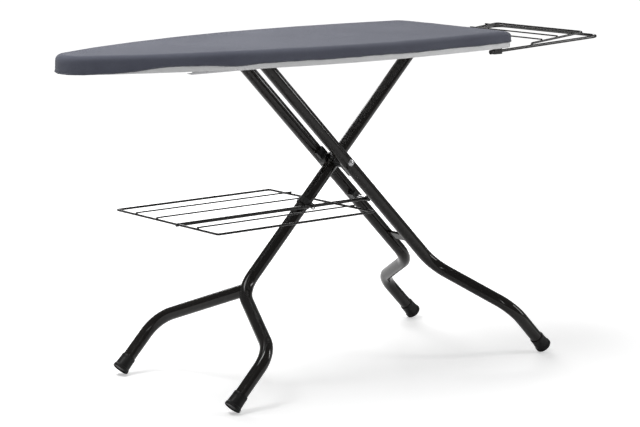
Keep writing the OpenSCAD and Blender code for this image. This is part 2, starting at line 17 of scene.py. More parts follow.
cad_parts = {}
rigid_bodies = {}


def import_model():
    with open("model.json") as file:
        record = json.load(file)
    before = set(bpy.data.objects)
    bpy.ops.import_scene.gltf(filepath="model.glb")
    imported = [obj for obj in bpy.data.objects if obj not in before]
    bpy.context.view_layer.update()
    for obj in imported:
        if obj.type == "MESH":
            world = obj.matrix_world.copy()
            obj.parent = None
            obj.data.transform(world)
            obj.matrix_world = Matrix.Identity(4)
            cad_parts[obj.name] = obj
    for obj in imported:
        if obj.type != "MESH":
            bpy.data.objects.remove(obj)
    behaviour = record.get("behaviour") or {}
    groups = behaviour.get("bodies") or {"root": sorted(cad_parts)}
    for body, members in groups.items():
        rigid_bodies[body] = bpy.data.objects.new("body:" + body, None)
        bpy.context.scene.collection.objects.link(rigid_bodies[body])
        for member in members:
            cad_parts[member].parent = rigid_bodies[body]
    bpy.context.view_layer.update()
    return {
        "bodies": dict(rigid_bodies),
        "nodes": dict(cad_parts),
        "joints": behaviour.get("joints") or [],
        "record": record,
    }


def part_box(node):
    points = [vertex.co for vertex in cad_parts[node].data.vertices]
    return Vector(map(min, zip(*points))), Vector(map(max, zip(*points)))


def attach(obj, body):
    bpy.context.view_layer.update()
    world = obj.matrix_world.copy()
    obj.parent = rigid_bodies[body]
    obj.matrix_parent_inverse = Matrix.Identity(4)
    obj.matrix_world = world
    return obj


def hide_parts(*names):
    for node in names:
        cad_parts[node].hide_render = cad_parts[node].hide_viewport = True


LOG = logging.getLogger("ironing_board")

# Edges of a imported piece, by how many degrees their two faces turn
CRISP_TURN = 32.0
BEVELLED_TURN = 55.0
FLAT_TURN = 0.8
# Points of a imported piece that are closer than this, in metres, are one point
MERGE_DISTANCE = 0.00002
# Depth that a bump of full strength stands for, in metres
BUMP_DEPTH = 0.0006
DUST_COLOR = (0.30, 0.29, 0.27, 1.0)
# Painted shade: the flat dark colour put in each steam hole stands for the shade seen through it
HOLE_SHADE_COLOR = (0.05, 0.05, 0.048, 1.0)
# How far a weld bead lies in from the outer side of the rack's frame, and above its top
WELD_INSET = 0.0025
WELD_RISE = 0.0002
WELD_RADIUS = 0.0029
# Distance from the board's widest place back to its tail
TAIL_REACH = 0.466


# ---------------------------------------------------------------------------------------
# Finishes


class Grain(Enum):
    """How the surface of a finish is broken up."""

    PAINT = "paint"
    WEAVE = "weave"
    FELT = "felt"
    PLATED = "plated"
    MOULDED = "moulded"
    PUNCHED = "punched"


@dataclass(frozen=True)
class Finish:
    """One finish of the board, with the values that its material is built from."""

    name: str
    slot: str
    base: tuple[float, float, float]
    tint: tuple[float, float, float]
    roughness: float
    rough_spread: float
    grain: Grain
    grain_scale: float
    bump: float
    metallic: float = 0.0
    coat: float = 0.0
    coat_roughness: float = 0.1
    sheen: float = 0.0
    patch_scale: float = 6.0
    dust: float = 0.0
    specular: float = 0.5


COVER_CLOTH = Finish(
    "slate_cover_cloth", "cover_cloth", (0.100, 0.107, 0.144), (0.122, 0.130, 0.168),
    0.84, 0.10, Grain.WEAVE, 900.0, 0.35, sheen=0.12, patch_scale=5.0, specular=0.35,
)
HEM_CLOTH = Finish(
    "slate_hem_cloth", "cover_cloth", (0.088, 0.094, 0.122), (0.120, 0.128, 0.160),
    0.86, 0.08, Grain.WEAVE, 900.0, 0.45, sheen=0.2, patch_scale=20.0,
)
PAD_FELT = Finish(
    "pale_pad_felt", "pad_felt", (0.66, 0.65, 0.61), (0.74, 0.73, 0.69),
    0.95, 0.04, Grain.FELT, 420.0, 0.5, sheen=0.2,
)
PANEL_PAINT = Finish(
    "light_grey_panel_paint", "panel_paint", (0.86, 0.865, 0.87), (0.92, 0.925, 0.93),
    0.42, 0.10, Grain.PAINT, 160.0, 0.05, coat=0.15, dust=0.15,
)
PUNCHED_PANEL = Finish(
    "punched_panel_paint", "panel_paint", (0.82, 0.82, 0.82), (0.88, 0.88, 0.875),
    0.45, 0.10, Grain.PUNCHED, 62.0, 0.6, coat=0.1, dust=0.2,
)
LEG_PAINT = Finish(
    "gloss_black_leg_paint", "leg_paint", (0.0075, 0.0062, 0.0052), (0.0110, 0.0094, 0.0082),
    0.15, 0.05, Grain.PAINT, 90.0, 0.010, coat=0.3, coat_roughness=0.05, dust=0.08, specular=0.30,
)
WIRE_PAINT = Finish(
    "satin_black_wire_coat", "wire_paint", (0.006, 0.0055, 0.005), (0.009, 0.0085, 0.008),
    0.27, 0.06, Grain.PAINT, 240.0, 0.010, coat=0.25, dust=0.08, specular=0.35,
)
ZINC = Finish(
    "bright_zinc", "zinc", (0.62, 0.62, 0.64), (0.72, 0.72, 0.73),
    0.26, 0.16, Grain.PLATED, 260.0, 0.06, metallic=1.0,
)
BLACK_PLASTIC = Finish(
    "moulded_black_plastic", "black_plastic", (0.012, 0.012, 0.0125), (0.020, 0.020, 0.021),
    0.46, 0.10, Grain.MOULDED, 900.0, 0.14, dust=0.12,
)
CAP_RUBBER = Finish(
    "black_cap_rubber", "cap_rubber", (0.007, 0.007, 0.007), (0.012, 0.012, 0.012),
    0.36, 0.12, Grain.MOULDED, 700.0, 0.10, dust=0.08, specular=0.25,
)


class FinishKit:
    """Builds the shared node groups and every material, each once."""

    def __init__(self) -> None:
        """Make the shared groups."""
        self._made: dict[str, bpy.types.Material] = {}
        self._patches = self._patch_group()
        self._weave = self._weave_group()
        self._punch = self._punch_group()

    @staticmethod
    def _socket(
        group: bpy.types.NodeTree, name: str, kind: str, is_input: bool, value: float = 0.0
    ) -> None:
        """Add one socket to a group.

        Args:
            group: The group's tree.
            name: The socket's name.
            kind: The socket type's last word, such as Float.
            is_input: Whether it is an input.
            value: Its default, on a float input.
        """
        side = "INPUT" if is_input else "OUTPUT"
        made = group.interface.new_socket(name=name, in_out=side, socket_type=f"NodeSocket{kind}")
        if is_input and kind == "Float":
            made.default_value = value

    def _patch_group(self) -> bpy.types.NodeTree:
        """Build the group that mottles a colour and a roughness and gathers dust.

        Returns:
            The group's tree, with outputs Color and Roughness.
        """
        group = bpy.data.node_groups.new("surface_patches", "ShaderNodeTree")
        for name, value in (("Scale", 6.0), ("Roughness", 0.5), ("Spread", 0.1), ("Dust", 0.0)):
            self._socket(group, name, "Float", True, value)
        for name in ("Base", "Tint"):
            self._socket(group, name, "Color", True)
        self._socket(group, "Color", "Color", False)
        self._socket(group, "Roughness", "Float", False)
        add, link = group.nodes.new, group.links.new
        source, out = add("NodeGroupInput"), add("NodeGroupOutput")
        coord = add("ShaderNodeTexCoord")
        broad, fine = add("ShaderNodeTexNoise"), add("ShaderNodeTexNoise")
        for tex, detail in ((broad, 5.0), (fine, 7.0)):
            tex.inputs["Detail"].default_value = detail
            link(coord.outputs["Object"], tex.inputs["Vector"])
        link(source.outputs["Scale"], broad.inputs["Scale"])
        finer = add("ShaderNodeMath")
        finer.operation = "MULTIPLY"
        finer.inputs[1].default_value = 9.0
        link(source.outputs["Scale"], finer.inputs[0])
        link(finer.outputs[0], fine.inputs["Scale"])
        spread = add("ShaderNodeMapRange")
        spread.inputs["From Min"].default_value = 0.35
        spread.inputs["From Max"].default_value = 0.65
        link(broad.outputs["Fac"], spread.inputs["Value"])
        mottle = add("ShaderNodeMix")
        mottle.data_type = "RGBA"
        link(spread.outputs["Result"], mottle.inputs["Factor"])
        link(source.outputs["Base"], mottle.inputs["A"])
        link(source.outputs["Tint"], mottle.inputs["B"])
        speck = add("ShaderNodeMapRange")
        speck.inputs["From Min"].default_value = 0.55
        speck.inputs["From Max"].default_value = 0.80
        link(fine.outputs["Fac"], speck.inputs["Value"])
        amount = add("ShaderNodeMath")
        amount.operation = "MULTIPLY"
        link(speck.outputs["Result"], amount.inputs[0])
        link(source.outputs["Dust"], amount.inputs[1])
        dusted = add("ShaderNodeMix")
        dusted.data_type = "RGBA"
        dusted.inputs["B"].default_value = DUST_COLOR
        less = add("ShaderNodeMath")
        less.operation = "MULTIPLY"
        less.inputs[1].default_value = 0.25
        link(amount.outputs[0], less.inputs[0])
        link(less.outputs[0], dusted.inputs["Factor"])
        link(mottle.outputs["Result"], dusted.inputs["A"])
        link(dusted.outputs["Result"], out.inputs["Color"])
        centred = add("ShaderNodeMath")
        centred.operation = "SUBTRACT"
        centred.inputs[1].default_value = 0.5
        link(fine.outputs["Fac"], centred.inputs[0])
        scaled = add("ShaderNodeMath")
        scaled.operation = "MULTIPLY_ADD"
        link(centred.outputs[0], scaled.inputs[0])
        link(source.outputs["Spread"], scaled.inputs[1])
        link(source.outputs["Roughness"], scaled.inputs[2])
        rougher = add("ShaderNodeMath")
        rougher.operation = "ADD"
        rougher.use_clamp = True
        link(scaled.outputs[0], rougher.inputs[0])
        link(less.outputs[0], rougher.inputs[1])
        link(rougher.outputs[0], out.inputs["Roughness"])
        return group

    def _weave_group(self) -> bpy.types.NodeTree:
        """Build the group that gives the height of a plain weave.

        Returns:
            The group's tree, with the output Height.
        """
        group = bpy.data.node_groups.new("plain_weave", "ShaderNodeTree")
        self._socket(group, "Scale", "Float", True, 900.0)
        self._socket(group, "Height", "Float", False)
        add, link = group.nodes.new, group.links.new
        source, out = add("NodeGroupInput"), add("NodeGroupOutput")
        coord = add("ShaderNodeTexCoord")
        threads = []
        for axis in ("X", "Y"):
            wave = add("ShaderNodeTexWave")
            wave.wave_type = "BANDS"
            wave.bands_direction = axis
            wave.inputs["Distortion"].default_value = 1.2
            wave.inputs["Detail"].default_value = 2.0
            link(coord.outputs["Object"], wave.inputs["Vector"])
            link(source.outputs["Scale"], wave.inputs["Scale"])
            threads.append(wave)
        over = add("ShaderNodeMath")
        over.operation = "MAXIMUM"
        link(threads[0].outputs["Fac"], over.inputs[0])
        link(threads[1].outputs["Fac"], over.inputs[1])
        link(over.outputs[0], out.inputs["Height"])
        return group

    def _punch_group(self) -> bpy.types.NodeTree:
        """Build the group that gives the mask of the panel's steam holes.

        Returns:
            The group's tree, with the output Mask, 1 inside a hole.
        """
        group = bpy.data.node_groups.new("steam_holes", "ShaderNodeTree")
        self._socket(group, "Scale", "Float", True, 62.0)
        self._socket(group, "Mask", "Float", False)
        add, link = group.nodes.new, group.links.new
        source, out = add("NodeGroupInput"), add("NodeGroupOutput")
        coord = add("ShaderNodeTexCoord")
        cells = add("ShaderNodeTexVoronoi")
        cells.voronoi_dimensions = "2D"
        cells.inputs["Randomness"].default_value = 0.0
        link(coord.outputs["Object"], cells.inputs["Vector"])
        link(source.outputs["Scale"], cells.inputs["Scale"])
        hole = add("ShaderNodeMapRange")
        hole.inputs["From Min"].default_value = 0.24
        hole.inputs["From Max"].default_value = 0.20
        link(cells.outputs["Distance"], hole.inputs["Value"])
        link(hole.outputs["Result"], out.inputs["Mask"])
        return group

    def material(self, finish: Finish) -> bpy.types.Material:
        """Give the material of a finish, built on first use.

        Args:
            finish: The finish.

        Returns:
            Its material.
        """
        if finish.name in self._made:
            return self._made[finish.name]
        mat = bpy.data.materials.new(finish.name)
        mat.use_nodes = True
        tree = mat.node_tree
        add, link = tree.nodes.new, tree.links.new
        shader = next(n for n in tree.nodes if n.type == "BSDF_PRINCIPLED")
        shader.inputs["Metallic"].default_value = finish.metallic
        shader.inputs["Specular IOR Level"].default_value = finish.specular
        shader.inputs["Coat Weight"].default_value = finish.coat
        shader.inputs["Coat Roughness"].default_value = finish.coat_roughness
        shader.inputs["Sheen Weight"].default_value = finish.sheen
        shader.inputs["Sheen Roughness"].default_value = 0.5
        patches = add("ShaderNodeGroup")
        patches.node_tree = self._patches
        patches.inputs["Scale"].default_value = finish.patch_scale
        patches.inputs["Roughness"].default_value = finish.roughness
        patches.inputs["Spread"].default_value = finish.rough_spread
        patches.inputs["Dust"].default_value = finish.dust
        patches.inputs["Base"].default_value = (*finish.base, 1.0)
        patches.inputs["Tint"].default_value = (*finish.tint, 1.0)
        link(patches.outputs["Roughness"], shader.inputs["Roughness"])
        bump = add("ShaderNodeBump")
        bump.inputs["Strength"].default_value = finish.bump
        bump.inputs["Distance"].default_value = BUMP_DEPTH
        link(bump.outputs["Normal"], shader.inputs["Normal"])
        color = patches.outputs["Color"]
        if finish.grain is Grain.WEAVE:
            color = self._dress_weave(tree, finish, color, bump)
        elif finish.grain is Grain.PUNCHED:
            color = self._dress_punched(tree, finish, color, bump)
        else:
            coord, grain = add("ShaderNodeTexCoord"), add("ShaderNodeTexNoise")
            grain.inputs["Scale"].default_value = finish.grain_scale
            grain.inputs["Detail"].default_value = 6.0
            link(coord.outputs["Object"], grain.inputs["Vector"])
            link(grain.outputs["Fac"], bump.inputs["Height"])
        link(color, shader.inputs["Base Color"])
        self._made[finish.name] = mat
        return mat

    def _dress_weave(
        self, tree: bpy.types.NodeTree, finish: Finish, color: bpy.types.NodeSocket, bump: bpy.types.Node
    ) -> bpy.types.NodeSocket:
        """Darken a cloth between its threads as painted shade, lighten the thread tops a little as a painted
        highlight, and raise the threads.

        Args:
            tree: The material's tree.
            finish: The cloth's finish.
            color: The cloth's colour.
            bump: The bump node that takes the weave's height.

        Returns:
            The colour with the weave's painted shade and highlight in it.
        """
        add, link = tree.nodes.new, tree.links.new
        weave = add("ShaderNodeGroup")
        weave.node_tree = self._weave
        weave.inputs["Scale"].default_value = finish.grain_scale
        link(weave.outputs["Height"], bump.inputs["Height"])
        # Painted shade and highlight: the weave's height darkens the colour to 0.80 between threads and lifts
        # it to 1.08 on their tops
        shade = add("ShaderNodeMapRange")
        shade.inputs["To Min"].default_value = 0.80
        shade.inputs["To Max"].default_value = 1.08
        link(weave.outputs["Height"], shade.inputs["Value"])
        mixed = add("ShaderNodeMix")
        mixed.data_type = "RGBA"
        mixed.blend_type = "MULTIPLY"
        mixed.inputs["Factor"].default_value = 1.0
        link(color, mixed.inputs["A"])
        link(shade.outputs["Result"], mixed.inputs["B"])
        return mixed.outputs["Result"]

    def _dress_punched(
        self, tree: bpy.types.NodeTree, finish: Finish, color: bpy.types.NodeSocket, bump: bpy.types.Node
    ) -> bpy.types.NodeSocket:
        """Show the steam holes as dents with dark painted shade in them.

        Args:
            tree: The material's tree.
            finish: The panel's finish.
            color: The paint's colour.
            bump: The bump node that takes the holes' depth.

        Returns:
            The colour with the holes' painted shade in it.
        """
        add, link = tree.nodes.new, tree.links.new
        holes = add("ShaderNodeGroup")
        holes.node_tree = self._punch
        holes.inputs["Scale"].default_value = finish.grain_scale
        depth = add("ShaderNodeMath")
        depth.operation = "SUBTRACT"
        depth.inputs[0].default_value = 1.0
        link(holes.outputs["Mask"], depth.inputs[1])
        link(depth.outputs[0], bump.inputs["Height"])
        # Painted shade: the hole mask mixes the dark shade colour into the paint
        mixed = add("ShaderNodeMix")
        mixed.data_type = "RGBA"
        mixed.inputs["B"].default_value = HOLE_SHADE_COLOR
        link(holes.outputs["Mask"], mixed.inputs["Factor"])
        link(color, mixed.inputs["A"])
        return mixed.outputs["Result"]


# ---------------------------------------------------------------------------------------
# Mesh helpers


def piece_from(
    name: str, work: bmesh.types.BMesh, material: bpy.types.Material, smooth: bool = True
) -> bpy.types.Object:
    """Turn a finished bmesh into an object at the origin.

    Args:
        name: The piece's name.
        work: The mesh, which is freed.
        material: The piece's material.
        smooth: Whether its faces are shaded smooth.

    Returns:
        The object.
    """
    mesh = bpy.data.meshes.new(name)
    for face in work.faces:
        face.smooth = smooth
    work.to_mesh(mesh)
    work.free()
    mesh.materials.append(material)
    made = bpy.data.objects.new(name, mesh)
    bpy.context.scene.collection.objects.link(made)
    return made


def finish_piece(piece: bpy.types.Object, body: str, slot: str, *nodes: str) -> bpy.types.Object:
    """Make a piece ride on its body and stand for its nodes.

    Args:
        piece: The finished piece.
        body: The body's name.
        slot: The record's material slot; not used.
        nodes: The nodes that it replaces.

    Returns:
        The piece.
    """
    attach(piece, body)
    if nodes:
        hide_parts(*nodes)
    LOG.info("%s rides on %s", piece.name, body)
    return piece


def turned_edges(work: bmesh.types.BMesh, angle: float) -> list[bmesh.types.BMEdge]:
    """The edges where two faces turn by more than an angle in degrees."""
    limit = math.radians(angle)
    return [e for e in work.edges if len(e.link_faces) == 2 and e.calc_face_angle(0.0) > limit]


def smoothed(
    node: str,
    body: str,
    finish: Finish,
    kit: FinishKit,
    frame: dict,
    angle: float = CRISP_TURN,
    bevel: float = 0.0,
) -> bpy.types.Object:
    """Replace a node by a copy with merged points, smooth round faces and crisp or eased edges.

    Args:
        node: The node's name.
        body: The body that it rides on.
        finish: Its finish.
        kit: The materials.
        frame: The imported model.
        angle: Edges that turn more than this many degrees stay crisp.
        bevel: The width of the eased edge in metres, 0 for none.

    Returns:
        The new piece.
    """
    work = bmesh.new()
    work.from_mesh(frame["nodes"][node].data)
    bmesh.ops.remove_doubles(work, verts=work.verts, dist=MERGE_DISTANCE)
    if bevel:
        bmesh.ops.dissolve_limit(
            work, angle_limit=math.radians(FLAT_TURN), verts=work.verts, edges=work.edges, delimit=set()
        )
    crisp = turned_edges(work, angle)
    if bevel:
        bmesh.ops.bevel(
            work, geom=crisp, offset=bevel, offset_type="OFFSET", affect="EDGES", segments=2,
            profile=0.5, material=-1, clamp_overlap=True,
        )
        bmesh.ops.triangulate(work, faces=[f for f in work.faces if len(f.verts) > 4])
        crisp = turned_edges(work, BEVELLED_TURN)
    for edge in crisp:
        edge.smooth = False
    piece = piece_from(f"{node}_finished", work, kit.material(finish))
    return finish_piece(piece, body, finish.slot, node)


# ---------------------------------------------------------------------------------------
# Cover


@dataclass
class BoardOutline:
    """The board's outline as arcs, in the board's own place along X.

    Attributes:
        nose: X of the nose tip.
        tail: X of the tail edge.
        widest: X of the widest place.
        half_width: Half the full width.
        nose_side_r: Radius of the side towards the nose.
        tail_side_r: Radius of the side towards the tail.
        corner_r: Radius of the tail corners.
        bow_r: Radius of the tail's bow.
    """

    nose: float
    tail: float
    widest: float
    half_width: float = 0.244
    nose_side_r: float = 1.750
    tail_side_r: float = 2.900
    corner_r: float = 0.052
    bow_r: float = 2.200

    def _arc(self, centre: Vector, radius: float, start: float, end: float, steps: int) -> list[Vector]:
        """Points on an arc.

        Args:
            centre: The arc's centre.
            radius: Its radius.
            start: First angle.
            end: Last angle.
            steps: How many steps.

        Returns:
            The points, both ends included.
        """
        turns = [start + (end - start) * i / steps for i in range(steps + 1)]
        return [centre + radius * Vector((math.cos(t), math.sin(t))) for t in turns]

    def _upper(self, inset: float) -> list[Vector]:
        """The far half of the outline, from the tail's middle to the nose tip.

        Args:
            inset: How far inside the outline.

        Returns:
            Closely spaced points.
        """
        reach = self.widest - self.nose
        low = self.nose_side_r - self.half_width
        nose_r = (self.nose_side_r**2 - low**2 - reach**2) / (2 * (self.nose_side_r - reach))
        nose_c = Vector((self.nose + nose_r, 0.0))
        turn = math.atan2(nose_c.x - self.widest, low)
        bow_c = Vector((self.tail - self.bow_r, 0.0))
        side_c = Vector((self.widest, self.half_width - self.tail_side_r))
        gap = bow_c - side_c
        dist = gap.length
        along = (
            (self.tail_side_r - self.corner_r) ** 2 - (self.bow_r - self.corner_r) ** 2 + dist**2
        ) / (2 * dist)
        out = math.sqrt((self.tail_side_r - self.corner_r) ** 2 - along**2)
        unit = gap / dist
        corner = side_c + along * unit + out * Vector((unit.y, -unit.x))
        a_side = math.atan2(corner.y - side_c.y, corner.x - side_c.x)
        a_bow = math.atan2(corner.y, corner.x - bow_c.x)
        right = math.pi / 2
        points = self._arc(bow_c, self.bow_r - inset, 0.0, a_bow, 24)
        points += self._arc(corner, max(self.corner_r - inset, 0.004), a_bow, a_side, 18)
        points += self._arc(side_c, self.tail_side_r - inset, a_side, right, 40)
        low_c = Vector((self.widest, self.half_width - self.nose_side_r))
        points += self._arc(low_c, self.nose_side_r - inset, right, right - turn, 60)
        points += self._arc(nose_c, nose_r - inset, right - turn, math.pi, 24)
        return points

    def ring(self, inset: float, count: int) -> list[Vector]:
        """Evenly spaced points once round the outline.

        Args:
            inset: How far inside the outline.
            count: How many points, an even number.

        Returns:
            The points, anticlockwise from the tail's middle.
        """
        half = self._upper(inset)
        run = [0.0]
        for a, b in zip(half, half[1:]):
            run.append(run[-1] + (b - a).length)
        upper, k, steps = [], 0, count // 2
        for i in range(steps + 1):
            want = run[-1] * i / steps
            while k < len(run) - 2 and run[k + 1] < want:
                k += 1
            share = (want - run[k]) / max(run[k + 1] - run[k], 1e-9)
            upper.append(half[k].lerp(half[k + 1], min(max(share, 0.0), 1.0)))
        lower = [Vector((p.x, -p.y)) for p in reversed(upper[1:-1])]
        return upper + lower


@dataclass
class ClothCover:
    """The padded cloth cover: a stretched top, a soft edge, a gathered skirt and a hem.

    Attributes:
        outline: The board's outline.
        top: Height of the cover's top.
        count: Points round the outline.
        skirt: Depth of the skirt below the top.
        edge: Radius of the soft upper edge.
        tail_fall: How much lower the padded top lies at the tail's edge.
        tail_run: Distance from the tail over which it falls.
        nose_hang: How much lower the skirt hangs round the nose.
        pull_start: Distance from the nose tip over which it hangs that low.
        pull_end: Distance from the nose tip where the extra hang has gone.
        sag_x: Where along the board the skirt dips once more.
        sag_width: Half the length of that dip.
        sag_depth: How deep that dip is.
    """

    outline: BoardOutline
    top: float
    count: int = 720
    skirt: float = 0.0300
    edge: float = 0.0160
    tail_fall: float = 0.0050
    tail_run: float = 0.075
    nose_hang: float = 0.0120
    pull_start: float = 0.08
    pull_end: float = 0.23
    sag_x: float = -0.42
    sag_width: float = 0.045
    sag_depth: float = 0.0050

    def _slack(self, x: float, y: float) -> float:
        """How low the skirt's edge hangs at a place, in metres, more near the nose."""
        run = self.pull_end - self.pull_start
        away = min(max((x - self.outline.nose - self.pull_start) / run, 0.0), 1.0)
        nose_pull = 1.0 - away * away * (3.0 - 2.0 * away)
        sag = math.exp(-(((x - self.sag_x) / self.sag_width) ** 2))
        slow = noise.noise(Vector((x * 6.5, y * 2.0, 3.1)))
        quick = noise.noise(Vector((x * 21.0, y * 9.0, 7.7)))
        return self.nose_hang * nose_pull + self.sag_depth * sag + 0.0020 * slow + 0.0013 * quick

    def _pucker(self, x: float, y: float) -> float:
        """How far the gathers near the hem stand out at a place, in metres."""
        nose_pull = max(0.0, 1.0 - (x - self.outline.nose) / 0.30)
        fine = noise.noise(Vector((x * 85.0, y * 85.0, 1.3)))
        wide = noise.noise(Vector((x * 32.0, y * 32.0, 5.9)))
        return (0.0008 + 0.0016 * nose_pull) * fine + (0.0006 + 0.0012 * nose_pull) * wide

    def _relief(self, x: float, y: float) -> float:
        """Height of the top's soft unevenness at a place, in metres."""
        broad = noise.noise(Vector((x * 3.3, y * 4.4, 0.4)))
        crease = noise.noise(Vector((x * 13.0, y * 20.0, 2.6)))
        near = min(max((x - self.outline.tail + self.tail_run) / self.tail_run, 0.0), 1.0)
        return 0.0009 * broad + 0.00045 * crease - 0.0009 - self.tail_fall * near * near * (3.0 - 2.0 * near)

    def build(self, kit: FinishKit) -> bpy.types.Object:
        """Args:
            kit: The materials.

        Returns:
            The cover.
        """
        r = self.edge
        profile = [(0.0012, -self.skirt - 0.0012, 1.0), (-0.0004, -self.skirt + 0.0004, 1.0)]
        profile += [(0.0002, -self.skirt + 0.0030, 0.9), (0.0003, -self.skirt + 0.0062, 0.75)]
        profile += [(0.0004, -0.0205, 0.45), (0.0004, -0.0180, 0.25)]
        for i in range(7):
            t = math.pi / 2 * i / 6
            profile.append((0.0004 + r * (1 - math.cos(t)), -r * (1 - math.sin(t)), 0.12 * (1 - i / 6)))
        profile += [(0.020, 0.0, 0.0), (0.027, 0.0, 0.0), (0.036, 0.0, 0.0)]
        work = bmesh.new()
        made = bmesh.ops.create_circle(work, cap_ends=False, segments=self.count, radius=0.2)
        loop = list(made["verts"])
        edges = list(work.edges)
        self._place(loop, profile[0])
        for row in profile[1:]:
            grown = bmesh.ops.extrude_edge_only(work, edges=edges)["geom"]
            edges = [g for g in grown if isinstance(g, bmesh.types.BMEdge) and g.is_boundary]
            fresh = [g for g in grown if isinstance(g, bmesh.types.BMVert)]
            loop = self._in_order(fresh)
            self._place(loop, row)
        self._close_top(work, loop, edges)
        bmesh.ops.recalc_face_normals(work, faces=work.faces)
        cover = piece_from("cloth_cover", work, kit.material(COVER_CLOTH))
        shell = cover.modifiers.new("cloth_thickness", "SOLIDIFY")
        shell.thickness = 0.0016
        shell.offset = -1.0
        return finish_piece(cover, "board", "cover_cloth", "cover")

    def cut_area(self) -> float:
        """The flat area of the cut cloth, the outline's own area with its skirt all round."""
        spots = self.outline.ring(0.0, self.count)
        pairs = list(zip(spots, spots[1:] + spots[:1]))
        inside = abs(sum(a.x * b.y - b.x * a.y for a, b in pairs)) / 2
        return inside + sum((b - a).length for a, b in pairs) * self.skirt

    @staticmethod
    def _in_order(verts: list[bmesh.types.BMVert]) -> list[bmesh.types.BMVert]:
        """Sort a new ring's points as they run round, by walking its edges."""
        ring = set(verts)
        first = min(verts, key=lambda v: (round(-v.co.x, 6), abs(v.co.y)))
        ordered, here, back = [first], first, None
        while len(ordered) < len(verts):
            ahead = [e.other_vert(here) for e in here.link_edges if e.other_vert(here) in ring]
            if back is None:
                nxt = max(ahead, key=lambda v: v.co.y)
            else:
                nxt = next(v for v in ahead if v is not back)
            ordered.append(nxt)
            back, here = here, nxt
        return ordered

    def _place(self, loop: list[bmesh.types.BMVert], row: tuple[float, float, float]) -> None:
        """Move one ring's points to its place on the profile.

        Args:
            loop: The ring's points in order from the tail's middle.
            row: Inset, height below the top, and how much the gathers show.
        """
        inset, drop, gather = row
        spots = self.outline.ring(inset, self.count)
        base = self.outline.ring(0.0, self.count)
        for vert, spot, rim in zip(loop, spots, base):
            outwards = (rim - Vector((min(max(rim.x, -0.6), 0.2), 0.0))).normalized()
            push = self._pucker(rim.x, rim.y) * gather
            low = self._slack(rim.x, rim.y) * gather if drop < -0.012 else 0.0
            z = self.top + drop - low
            if drop > -self.edge - 0.001:
                z += self._relief(spot.x, spot.y) * min(1.0, 1.0 + drop / (self.edge + 0.001))
            vert.co = (spot.x + outwards.x * push, spot.y + outwards.y * push, z)

    def _close_top(
        self, work: bmesh.types.BMesh, loop: list[bmesh.types.BMVert], edges: list, sink: float = 0.0
    ) -> None:
        """Fill the top with rings that close on the middle line.

        Args:
            work: The mesh.
            loop: The innermost ring so far.
            edges: Its edges.
            sink: How far the surface lies under the cloth.
        """
        rim = [v.co.copy() for v in loop]
        low_x, high_x = min(p.x for p in rim), max(p.x for p in rim)
        steps = 22
        for k in range(1, steps + 1):
            share = k / steps
            grown = bmesh.ops.extrude_edge_only(work, edges=edges)["geom"]
            edges = [g for g in grown if isinstance(g, bmesh.types.BMEdge) and g.is_boundary]
            loop = self._in_order([g for g in grown if isinstance(g, bmesh.types.BMVert)])
            for vert, start in zip(loop, rim):
                spine = min(max(start.x, low_x + 0.05), high_x - 0.16)
                x = start.x + (spine - start.x) * share
                y = start.y * (1 - share)
                vert.co = (x, y, self.top - sink + self._relief(x, y))
        bmesh.ops.remove_doubles(work, verts=loop, dist=0.0004)
        bmesh.ops.dissolve_degenerate(work, edges=work.edges, dist=0.00005)


@dataclass
class FeltUnderlay:
    """The felt pad between the panel and the cloth, with the same soft upper edge as the cloth."""

    cover: ClothCover
    bed: float
    sink: float = 0.0026
    clear: float = 0.0034

    def build(self, kit: FinishKit) -> bpy.types.Object:
        """Make the pad as one closed piece and dress it.

        Args:
            kit: The materials.

        Returns:
            The pad.
        """
        cover, r = self.cover, self.cover.edge
        foot = self.bed - cover.top
        profile = [(self.clear, foot, 0.0), (self.clear, foot + 0.0012, 0.0)]
        for i in range(1, 9):
            t = math.pi / 2 * i / 8
            row = (
                0.0004 + r * (1 - math.cos(t)) + self.sink * math.cos(t),
                -r * (1 - math.sin(t)) - self.sink * math.sin(t),
                0.0,
            )
            if row[0] > self.clear + 0.0004 and row[1] > foot + 0.0016:
                profile.append(row)
        profile += [(0.020, -self.sink, 0.0), (0.027, -self.sink, 0.0), (0.036, -self.sink, 0.0)]
        work = bmesh.new()
        loop = list(bmesh.ops.create_circle(work, cap_ends=False, segments=cover.count, radius=0.2)["verts"])
        first = edges = list(work.edges)
        cover._place(loop, profile[0])
        for row in profile[1:]:
            grown = bmesh.ops.extrude_edge_only(work, edges=edges)["geom"]
            edges = [g for g in grown if isinstance(g, bmesh.types.BMEdge) and g.is_boundary]
            loop = cover._in_order([g for g in grown if isinstance(g, bmesh.types.BMVert)])
            cover._place(loop, row)
        cover._close_top(work, loop, edges, self.sink)
        bmesh.ops.edgeloop_fill(work, edges=[e for e in first if e.is_valid and e.is_boundary])
        bmesh.ops.recalc_face_normals(work, faces=work.faces)
        pad = piece_from("felt_underlay", work, kit.material(PAD_FELT))
        return finish_piece(pad, "board", "pad_felt", "felt_pad")


